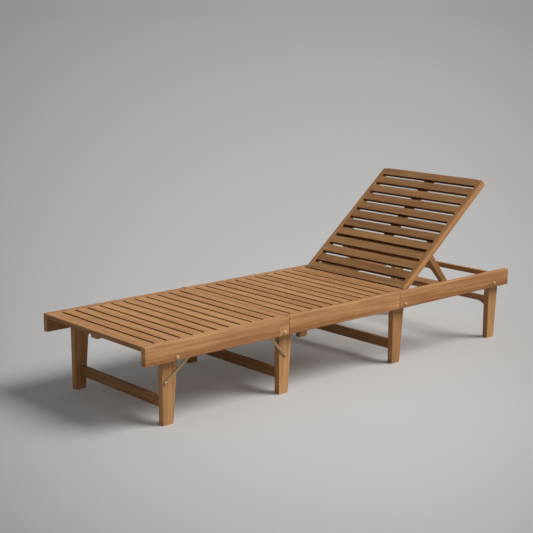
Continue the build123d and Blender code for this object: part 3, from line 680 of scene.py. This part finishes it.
# %% Helper for geometry trees
class Tree:
    def __init__(self, name):
        self.group = bpy.data.node_groups.new(name, "GeometryNodeTree")
        self.group.interface.new_socket("Geometry", in_out="INPUT", socket_type="NodeSocketGeometry")
        self.group.interface.new_socket("Geometry", in_out="OUTPUT", socket_type="NodeSocketGeometry")
        self.source = self.group.nodes.new("NodeGroupInput")
        self.sink = self.group.nodes.new("NodeGroupOutput")
        self.names = {}

    def size(self, name, kind="Float"):
        made = self.group.interface.new_socket(name, in_out="INPUT", socket_type="NodeSocket" + kind)
        self.names[name] = made.identifier
        return self.source.outputs[name]

    def add(self, kind, settings=None, inputs=None):
        made = self.group.nodes.new(kind)
        for key, value in (settings or {}).items():
            setattr(made, key, value)
        for key, value in (inputs or {}).items():
            socket = made.inputs[key]
            if isinstance(value, bpy.types.NodeSocket):
                self.group.links.new(value, socket)
            else:
                socket.default_value = value
        return made

    def maths(self, operation, first, second=0.0):
        return self.add("ShaderNodeMath", {"operation": operation}, {0: first, 1: second}).outputs[0]

    def times(self, first, second):
        return self.maths("MULTIPLY", first, second)

    def minus(self, first, second):
        return self.maths("SUBTRACT", first, second)

    def beyond(self, value, limit):
        """1 where a value is over the limit, whichever its sign, and 0 elsewhere."""
        return self.maths("GREATER_THAN", self.maths("ABSOLUTE", value), limit)

    def xyz(self, x=0.0, y=0.0, z=0.0):
        return self.add("ShaderNodeCombineXYZ", None, {"X": x, "Y": y, "Z": z}).outputs[0]

    def parts(self, vector):
        return self.add("ShaderNodeSeparateXYZ", None, {0: vector}).outputs

    def joined(self, pieces):
        whole = self.add("GeometryNodeJoinGeometry")
        for piece in pieces:
            self.group.links.new(piece.outputs[0], whole.inputs[0])
        return whole

    def stored(self, geometry, name, vector, domain="POINT"):
        return self.add("GeometryNodeStoreNamedAttribute", {"data_type": "FLOAT_VECTOR", "domain": domain},
                        {"Geometry": geometry.outputs[0], "Name": name, "Value": vector})

    def end(self, geometry, material):
        whole = self.add("GeometryNodeRealizeInstances", None, {"Geometry": geometry}).outputs[0]
        dressed = self.add("GeometryNodeSetMaterial", None, {"Geometry": whole, "Material": material})
        self.group.links.new(dressed.outputs[0], self.sink.inputs[0])


print("tree helpers:", ", ".join(name for name in dir(Tree) if not name.startswith("_")))

# %% [markdown]
# `grown` runs a tree on a small mesh of points. Each size goes in by its socket's identifier,
# because two sockets may share a name, and before the object is first evaluated. The result is
# kept as a plain mesh, and the modifier is gone before the piece joins its body.

# %% Growing a piece
def grown(name, tree, points, sizes, material, body, replaced):
    base = bpy.data.meshes.new(name)
    base.from_pydata(points, [], [])
    obj = bpy.data.objects.new(name, base)
    bpy.context.scene.collection.objects.link(obj)
    mod = obj.modifiers.new("grow", "NODES")
    mod.node_group = tree.group
    for key, value in sizes.items():
        mod[tree.names[key]] = value
    graph = bpy.context.evaluated_depsgraph_get()
    mesh = bpy.data.meshes.new_from_object(obj.evaluated_get(graph), preserve_all_data_layers=True,
                                           depsgraph=graph)
    obj.modifiers.clear()
    obj.data = mesh
    settle(obj, material)
    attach(obj, body)
    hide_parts(*replaced)
    return obj


print("geometry trees so far:", len(bpy.data.node_groups))

# %% [markdown]
# ## One slat
#
# A slat is a plank with rounded long edges: a rounded rectangle swept across the lounger. A cube
# with a bevel would give the same shape, but a swept section keeps the rounding even however wide
# the slat is. Its ends are eased by a section that shrinks a little just before it stops. The
# path has six points, and the second and the fifth are moved close to the ends for that.

# %% One slat
CORNER_STEPS = 4
PATH_POINTS = 6
END_EASE = 0.6
END_REACH = 0.1
END_SHRINK = 0.03


def slat_blank(tree, width, thick, length, rounding):
    flat = tree.add("GeometryNodeCurvePrimitiveQuadrilateral", None, {"Width": width, "Height": thick})
    section = tree.add("GeometryNodeFilletCurve", {"mode": "POLY"},
                       {"Curve": flat.outputs[0], "Radius": rounding, "Count": CORNER_STEPS})
    half = tree.times(length, 0.5)
    path = tree.add("GeometryNodeCurvePrimitiveLine", None,
                    {"Start": tree.xyz(y=tree.times(half, -1.0)), "End": tree.xyz(y=half)})
    path = tree.add("GeometryNodeResampleCurve", None, {"Curve": path.outputs[0], "Count": PATH_POINTS})
    index = tree.add("GeometryNodeInputIndex").outputs[0]
    inset = tree.minus(half, END_EASE * MM)
    for number, side in ((1, -1.0), (PATH_POINTS - 2, 1.0)):
        chosen = tree.add("FunctionNodeCompare", {"data_type": "INT", "operation": "EQUAL"},
                          {2: index, 3: number})
        path = tree.add("GeometryNodeSetPosition", None,
                        {"Geometry": path.outputs[0], "Selection": chosen.outputs[0],
                         "Position": tree.xyz(y=tree.times(inset, side))})
    spot = tree.add("GeometryNodeInputPosition").outputs[0]
    at_end = tree.beyond(tree.parts(spot)[1], tree.minus(half, END_REACH * MM))
    scale = tree.minus(1.0, tree.times(at_end, END_SHRINK))
    return tree.add("GeometryNodeCurveToMesh", None,
                    {"Curve": path.outputs[0], "Profile Curve": section.outputs[0], "Scale": scale,
                     "Fill Caps": True})


print("a slat's section has", 4 * (CORNER_STEPS + 1), "points")

# %% [markdown]
# ## The attributes of a slat
#
# The slat is still at the origin here, so a point's place is its place in the board. Its fibres
# run across the lounger, so y goes into the x of the grain. The worn edges, painted paler also as
# a highlight, are close to a side and to the top or bottom at once. Painted shade lies where the
# surface faces sideways, which is the wall of the gap to the next slat.

# %% The attributes of a slat
WEAR_AND_HIGHLIGHT_REACH = 0.75
WALL_FACING = 0.6


def slat_attributes(tree, blank, width, thick, rounding, stained):
    x, y, z = tree.parts(tree.add("GeometryNodeInputPosition").outputs[0])
    slat = tree.stored(blank, "grain", tree.xyz(y, x, z))
    # Worn edges, painted paler also as a highlight.
    reach = tree.times(rounding, WEAR_AND_HIGHLIGHT_REACH)
    near_side = tree.beyond(x, tree.minus(tree.times(width, 0.5), reach))
    near_face = tree.beyond(z, tree.minus(tree.times(thick, 0.5), reach))
    facing = tree.parts(tree.add("GeometryNodeInputNormal").outputs[0])[0]
    # Painted shade: the walls that face the next slat across a gap are marked for darkening.
    stain = tree.times(tree.beyond(facing, WALL_FACING), stained)
    return tree.stored(slat, "edge", tree.xyz(tree.times(near_side, near_face), stain))


print("a slat is stained where it slopes over", round(math.degrees(math.asin(WALL_FACING))), "degrees")

# %% [markdown]
# ## A run of slats
#
# The run is a line of copies at an even pitch, and each copy draws its own tint. The back's slats
# are made level, like the deck, and the whole run is then turned about the hinge line, as the
# real back is. That way one tree serves the deck and the back.

# %% The slat tree
def slat_tree():
    tree = Tree("slat_run")
    count = tree.size("Count", "Int")
    pitch = tree.size("Pitch")
    first_x = tree.size("First X")
    width = tree.size("Width")
    thick = tree.size("Thickness")
    length = tree.size("Length")
    top = tree.size("Top")
    rounding = tree.size("Rounding")
    lean = tree.size("Lean")
    hinge = tree.size("Hinge", "Vector")
    seed = tree.size("Seed", "Int")
    # How strongly the gap walls are painted in shade, from 0 to 1.
    stained = tree.size("Gap Shade")
    spread = tree.size("Tone Spread")

    blank = slat_blank(tree, width, thick, length, rounding)
    slat = slat_attributes(tree, blank, width, thick, rounding, stained)
    middle_x = tree.maths("ADD", first_x, tree.times(width, 0.5))
    middle_z = tree.minus(top, tree.times(thick, 0.5))
    spots = tree.add("GeometryNodeMeshLine", None,
                     {"Count": count, "Start Location": tree.xyz(middle_x, 0.0, middle_z),
                      "Offset": tree.xyz(pitch)})
    copies = tree.add("GeometryNodeInstanceOnPoints", None,
                      {"Points": spots.outputs[0], "Instance": slat.outputs[0]})
    draw = tree.add("FunctionNodeRandomValue", {"data_type": "FLOAT_VECTOR"}, {"Seed": seed})
    tint = tree.add("ShaderNodeVectorMath", {"operation": "MULTIPLY"},
                    {0: draw.outputs[0], 1: tree.xyz(spread, 1.0, 1.0)})
    copies = tree.stored(copies, "tint", tint.outputs[0], "INSTANCE")
    back = tree.add("ShaderNodeVectorMath", {"operation": "SCALE"}, {0: hinge, "Scale": -1.0})
    level = tree.add("GeometryNodeTransform", None,
                     {"Geometry": copies.outputs[0], "Translation": back.outputs[0]})
    turned = tree.add("GeometryNodeTransform", None,
                      {"Geometry": level.outputs[0], "Rotation": tree.xyz(y=tree.times(lean, -1.0)),
                       "Translation": hinge})
    tree.end(turned.outputs[0], OILED)
    return tree


SLATS = slat_tree()
print("slat tree inputs:", ", ".join(SLATS.names))

# %% [markdown]
# ## The slats of the deck
#
# The foot section has a wide slat at its end, ten alike, and a narrower one by the seam. The
# middle section has ten alike between two narrower ones, and one more lies in front of the back.
# The wide one reaches over the strips to the rails' inner faces; the rest lie between the strips'
# raised edges. Where a frame piece holds one run, its ends are read off it, so that the finished
# slats lie exactly on it. The seeds of the long runs were picked so that the darker slats lie
# where the photograph has them.

# %% The slats of the deck
HINGE_X = 1336.0
HINGE_Z = 307.5
STRIP_FACE = 33.2
RAIL_THICK = 24.0
DECK_THICK = 18.0
DECK_ROUNDING = 2.5
# How strongly the end slat's gap walls are painted in shade.
END_GAP_SHADE = 0.25
DECK_SPREAD = 0.65
BACK_SPREAD = 0.8
PITCH = {"foot_slats": 55.78, "middle_slats": 54.68, "back_slats": 55.23}
SLATS_ALIKE = 10


def span(start, end):
    """Two places along the lounger, in the shared frame."""
    return [place(start, 0, 0).x, place(end, 0, 0).x]


def grow_slats(node, count, seed, ends=None, thick=DECK_THICK, inset=STRIP_FACE, rounding=DECK_ROUNDING,
               lean=0.0, stain=1.0):
    if ends is None:
        low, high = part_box(node)
        first, last = low.x, high.x
    else:
        first, last = ends
    pitch = PITCH.get(node, 0.0) * MM
    sizes = {
        "Count": count, "Pitch": pitch, "First X": first, "Width": last - first - pitch * (count - 1),
        "Thickness": thick * MM, "Length": (WIDTH - 2 * inset) * MM, "Top": DECK * MM,
        "Rounding": rounding * MM, "Lean": lean, "Hinge": tuple(place(HINGE_X, WIDTH / 2, HINGE_Z)),
        "Seed": seed, "Gap Shade": stain, "Tone Spread": BACK_SPREAD if lean else DECK_SPREAD,
    }
    return grown(node + "_finished", SLATS, [(0, 0, 0)], sizes, OILED, body_of_node[node],
                 [node])


deck = [
    grow_slats("foot_end_slat", 1, 3, inset=RAIL_THICK, stain=END_GAP_SHADE),
    grow_slats("foot_slats", SLATS_ALIKE, 246),
    grow_slats("foot_seam_slat", 1, 5),
    grow_slats("middle_end_slats", 1, 7, span(667.9, 700.4)),
    grow_slats("middle_end_slats", 1, 9, span(1255.2, 1281.3)),
    grow_slats("middle_slats", SLATS_ALIKE, 23),
    grow_slats("head_seat_slat", 1, 13),
]
print("slats on the deck:", sum(max(islands(run.data)) + 1 for run in deck))

# %% [markdown]
# ## The slats of the back
#
# Twelve slats sit between the stiles, all thinner than the deck's but the lowest. They are laid
# level first, and distances are measured from the hinge that the back turns on.

# %% The slats of the back
STILE_FACE = 59.0
BACK_THICK = 14.0
BACK_ROUNDING = 3.0


def grow_back_slats(node, count, seed, start, end, thick=BACK_THICK):
    ends = span(HINGE_X + start, HINGE_X + end)
    return grow_slats(node, count, seed, ends, thick, STILE_FACE, BACK_ROUNDING, BACK_LEAN)


back = [
    grow_back_slats("back_bottom_slat", 1, 31, 4.3, 42.4, DECK_THICK),
    grow_back_slats("back_slats", SLATS_ALIKE, 497, 56.4, 594.7),
    grow_back_slats("back_top_slat", 1, 41, 608.7, 650.0),
]
print("slats in the back:", sum(max(islands(run.data)) + 1 for run in back))

# %% [markdown]
# ## Bolts
#
# A leg turns on a bolt with a domed head outside the rail, a spacer between rail and leg, and a
# nut inside. The dome is the upper half of a ball, pressed flatter, with its open side closed by
# a disc. Eight bolts could be eight objects, but they are alike, so the tree makes one and copies
# it to points. A point's place in Y tells which side it is on, and so which way its bolt faces.

# %% The bolt tree
DOME_SIDES = 28
DOME_RINGS = 14
SHANK_SIDES = 20
SPACER_SIDES = 24
NUT_SIDES = 6
BELOW_RIM = -0.01
RIM_WELD = 0.01


def dome(tree, radius, height):
    ball = tree.add("GeometryNodeMeshUVSphere", None,
                    {"Segments": DOME_SIDES, "Rings": DOME_RINGS, "Radius": 1.0})
    up = tree.parts(tree.add("GeometryNodeInputPosition").outputs[0])[2]
    half = tree.add("GeometryNodeDeleteGeometry", {"domain": "POINT"},
                    {"Geometry": ball.outputs[0], "Selection": tree.maths("LESS_THAN", up, BELOW_RIM)})
    cap = tree.add("GeometryNodeTransform", None,
                   {"Geometry": half.outputs[0], "Scale": tree.xyz(radius, radius, height)})
    disc = tree.add("GeometryNodeMeshCircle", {"fill_type": "NGON"},
                    {"Vertices": DOME_SIDES, "Radius": radius})
    disc = tree.add("GeometryNodeFlipFaces", None, {"Mesh": disc.outputs[0]})
    head = tree.joined([cap, disc])
    return tree.add("GeometryNodeMergeByDistance", None,
                    {"Geometry": head.outputs[0], "Distance": RIM_WELD * MM})


def rod(tree, radius, start, length, sides):
    made = tree.add("GeometryNodeMeshCylinder", None,
                    {"Vertices": sides, "Radius": radius, "Depth": length})
    middle = tree.times(tree.maths("ADD", start, tree.times(length, 0.5)), -1.0)
    return tree.add("GeometryNodeTransform", None,
                    {"Geometry": made.outputs[0], "Translation": tree.xyz(z=middle)})


def bolt_tree():
    tree = Tree("leg_bolts")
    head = dome(tree, tree.size("Head Radius"), tree.size("Head Height"))
    shank = rod(tree, tree.size("Shank Radius"), 0.0, tree.size("Shank Length"), SHANK_SIDES)
    spacer = rod(tree, tree.size("Spacer Radius"), tree.size("Spacer Start"), tree.size("Spacer Length"),
                 SPACER_SIDES)
    nut = rod(tree, tree.size("Nut Radius"), tree.size("Nut Start"), tree.size("Nut Height"), NUT_SIDES)
    whole = tree.joined([head, shank, spacer, nut])
    side = tree.maths("SIGN", tree.parts(tree.add("GeometryNodeInputPosition").outputs[0])[1])
    facing = tree.add("FunctionNodeEulerToRotation", None, {0: tree.xyz(tree.times(side, -math.pi / 2))})
    copies = tree.add("GeometryNodeInstanceOnPoints", None,
                      {"Points": tree.source.outputs[0], "Instance": whole.outputs[0],
                       "Rotation": facing.outputs[0]})
    tree.end(copies.outputs[0], BRONZED)
    return tree


BOLTS = bolt_tree()
print("bolt tree inputs:", ", ".join(BOLTS.names))

# %% [markdown]
# Each pair of legs has its pivot at the same place on both sides. The first two pairs belong to
# the foot section and the last two to the head section, so the bolts are two pieces.

# %% The leg bolts
BOLT_SIZES = {
    "Head Radius": 9.0, "Head Height": 4.5, "Shank Radius": 4.0, "Shank Length": 68.3,
    "Spacer Radius": 8.0, "Spacer Start": 24.0, "Spacer Length": 10.7,
    "Nut Radius": 7.5, "Nut Start": 60.3, "Nut Height": 6.0,
}
PIVOTS = {
    "foot_leg_bolts": [(138.0, 252.0), (644.5, 252.0)],
    "head_leg_bolts": [(1317.0, 256.0), (1895.5, 258.0)],
}


def grow_bolts(node, spots, sizes, material):
    in_metres = {key: value * MM for key, value in sizes.items()}
    return grown(node + "_finished", BOLTS, spots, in_metres, material, body_of_node[node], [node])


for node, pivots in PIVOTS.items():
    spots = [place(x, y, z) for x, z in pivots for y in (0, WIDTH)]
    grow_bolts(node, spots, BOLT_SIZES, BRONZED)
print("bolts:", sum(2 * len(pivots) for pivots in PIVOTS.values()))

# %% [markdown]
# A rivet joins each stay to its leg. It is the same tree with other sizes: a low dome on a short
# shank. Its spacer and nut are shrunk into the shank, because a rivet has neither.

# %% The rivets
RIVET_SIZES = {
    "Head Radius": 5.5, "Head Height": 1.9, "Shank Radius": 3.0, "Shank Length": 18.3,
    "Spacer Radius": 2.9, "Spacer Start": 2.0, "Spacer Length": 4.0,
    "Nut Radius": 2.8, "Nut Start": 8.0, "Nut Height": 4.0,
}
RIVET_Y = 30.7
RIVETS = {"stay_1_rivets": (107.5, 157.0), "stay_2_rivets": (676.5, 152.0)}
for node, (x, z) in RIVETS.items():
    spots = [place(x, y, z) for y in (RIVET_Y, WIDTH - RIVET_Y)]
    grow_bolts(node, spots, RIVET_SIZES, YELLOWED)
print("rivets:", 2 * len(RIVETS))

# %% [markdown]
# ## The pool of light
#
# The setting is a studio with a seamless pale floor. In the photograph the floor is brightest
# round the lounger and fades gently behind it and to both sides. A lamp could make such a pool,
# but it would light the near legs more than the far ones, so the paint of the floor fades
# instead. `AHEAD` points away over the lounger and `ASIDE` to its right. The view to the sides is
# told by its slant: how far aside it goes for each step ahead.

# %% The pool of light
AHEAD = Vector((0.6604, 0.7509, 0.0))
ASIDE = Vector((0.7509, -0.6604, 0.0))
POOL_MIDDLE = 0.07
FADE_LEFT = 2.7
FADE_RIGHT = 6.0
SIDE_LEAST = 0.70


def side_fade(slant):
    left = slant.at_most(0.0)
    right = slant.at_least(0.0)
    return (1.0 - left * left * FADE_LEFT - right * right * FADE_RIGHT).at_least(SIDE_LEAST)


print("the pool's middle lies", round(math.degrees(math.atan(POOL_MIDDLE)), 1), "degrees right of ahead")

# %% [markdown]
# ## The floor
#
# One large flat sheet runs on to the horizon. It is matt paint, a very pale grey. A trace of glow
# that only the camera sees lifts its shadows, as the bounce from studio walls does, and puts no
# light on the lounger.

# %% The floor
FLOOR_REACH = 400.0
PALE = (0.530, 0.526, 0.526, 1.0)
GLOW = (0.060, 0.0595, 0.0585)
FAR_TONE = 0.655
POOL_EDGE = 0.6
FADE_LENGTH = 8.0
NEAR_BEND = 0.10
NEAR_SLOPE = 0.02
NEAR_LEAST = 0.8
VIEWER_BACK = 4.9
NEAREST = -3.0
MATT = 0.9


def floor_tone(east, north):
    """1 in the pool of light round the lounger, and less away from it."""
    run = east * AHEAD.x + north * AHEAD.y
    off = east * ASIDE.x + north * ASIDE.y
    beyond = (run + POOL_EDGE).at_least(0.0)
    far_fade = (beyond * (1.0 / FADE_LENGTH) + 1.0).power(-1.0) * (1.0 - FAR_TONE) + FAR_TONE
    short = (-POOL_EDGE - run).at_least(0.0)
    near_fade = (1.0 - short * short * NEAR_BEND - short * NEAR_SLOPE).at_least(NEAR_LEAST)
    slant = off * (run.at_least(NEAREST) + VIEWER_BACK).power(-1.0) - POOL_MIDDLE
    return (far_fade * near_fade * side_fade(slant)).clamp()


def floor():
    corners = [(x * FLOOR_REACH, y * FLOOR_REACH, 0.0) for x, y in ((-1, -1), (1, -1), (1, 1), (-1, 1))]
    mesh = bpy.data.meshes.new("floor")
    mesh.from_pydata(corners, [], [(0, 1, 2, 3)])
    obj = bpy.data.objects.new("floor", mesh)
    bpy.context.scene.collection.objects.link(obj)

    paper = Finish("floor_paper")
    east, north, _ = paper.parts(paper.node("ShaderNodeTexCoord").outputs["Object"])
    tone = floor_tone(east, north)
    paper.set("Base Color", paper.mix(tone, BLACK, PALE))
    seen = Value(paper.tree, paper.node("ShaderNodeLightPath").outputs["Is Camera Ray"])
    paper.set("Emission Color", paper.mix(tone * seen, BLACK, GLOW + (1.0,)))
    paper.set("Emission Strength", 1.0)
    paper.set("Roughness", MATT)
    paper.set("Specular IOR Level", 0.0)
    mesh.materials.append(paper.material)
    return obj


floor()
print("floor paint:", [round(c, 3) for c in PALE[:3]])

# %% [markdown]
# ## The key lamp
#
# One large soft lamp stands far off, to the right of the viewer. An area lamp at a few metres
# makes the nearer rails too bright, so this is a sun lamp with a wide disc, which acts like a
# soft box far away: every leg gets the same light, and its shadow is crisp at the foot and melts
# within a hand's width.

# %% The key lamp
KEY_FROM = Vector((0.50, -0.48, 0.72))
KEY_STRENGTH = 3.1
KEY_DISC = math.radians(34)
KEY_COLOUR = (1.0, 0.985, 0.96)
KEY_DISTANCE = 5.0
key = bpy.data.lights.new("key_lamp", "SUN")
key.angle = KEY_DISC
key.energy = KEY_STRENGTH
key.color = KEY_COLOUR
key_holder = bpy.data.objects.new("key_lamp", key)
bpy.context.scene.collection.objects.link(key_holder)
key_holder.location = KEY_FROM * KEY_DISTANCE
key_holder.rotation_euler = KEY_FROM.to_track_quat("Z", "Y").to_euler()

# %% [markdown]
# ## The fill and the backdrop
#
# The world gives the even fill. To the camera and to glossy rays it shows the backdrop instead: a
# pale grey that meets the floor's own tone at the horizon, and fades to the sides as it does.
# `OPEN_LIGHT` is how brightly the lamp and the fill light the open floor out there.

# %% The fill and the backdrop
FILL = 0.24
OPEN_LIGHT = 0.93
LEAST_AHEAD = 0.3
world = bpy.data.worlds.new("room")
bpy.context.scene.world = world
world.use_nodes = True
room = world.node_tree
fill = room.nodes["Background"]
fill.inputs["Color"].default_value = (1.0, 1.0, 1.0, 1.0)
fill.inputs["Strength"].default_value = FILL

backdrop = Finish("backdrop", room)
east, north, _ = backdrop.parts(backdrop.node("ShaderNodeTexCoord").outputs["Generated"])
ahead = (east * AHEAD.x + north * AHEAD.y).at_least(LEAST_AHEAD)
slant = (east * ASIDE.x + north * ASIDE.y) * ahead.power(-1.0) - POOL_MIDDLE
far = tuple(FAR_TONE * (OPEN_LIGHT * c + g) for c, g in zip(PALE, GLOW)) + (1.0,)
wall = backdrop.node("ShaderNodeBackground", None, Color=backdrop.mix(side_fade(slant), BLACK, far))
rays = backdrop.node("ShaderNodeLightPath")
seen = Value(room, rays.outputs["Is Camera Ray"]).at_least(Value(room, rays.outputs["Is Glossy Ray"]))
choice = room.nodes.new("ShaderNodeMixShader")
room.links.new(seen.socket, choice.inputs["Fac"])
room.links.new(fill.outputs[0], choice.inputs[1])
room.links.new(wall.outputs[0], choice.inputs[2])
room.links.new(choice.outputs[0], room.nodes["World Output"].inputs["Surface"])
bpy.context.scene.view_settings.view_transform = "Standard"
print("backdrop at the horizon:", [round(c, 3) for c in far[:3]])

# %% [markdown]
# ## The camera
#
# The camera stands low in front of the foot end on the near side, with a long lens, which keeps
# the lounger's edges close to parallel. Its place was solved from the edges of the deck in the
# photograph, so that the two pictures lie on top of each other.

# %% The camera
LENS = 81.86
SENSOR = 36.0
CAMERA_AT = (-3.3181, -3.5983, 1.4319)
CAMERA_TILT = math.radians(78.17)
CAMERA_TURN = math.radians(-41.33)
camera = bpy.data.cameras.new("camera")
camera.lens = LENS
camera.sensor_width = SENSOR
view = bpy.data.objects.new("camera", camera)
bpy.context.scene.collection.objects.link(view)
view.location = CAMERA_AT
view.rotation_euler = (CAMERA_TILT, 0.0, CAMERA_TURN)
bpy.context.scene.camera = view
print("distance to the lounger's middle:", round(Vector(CAMERA_AT).length, 2), "m")

# %% [markdown]
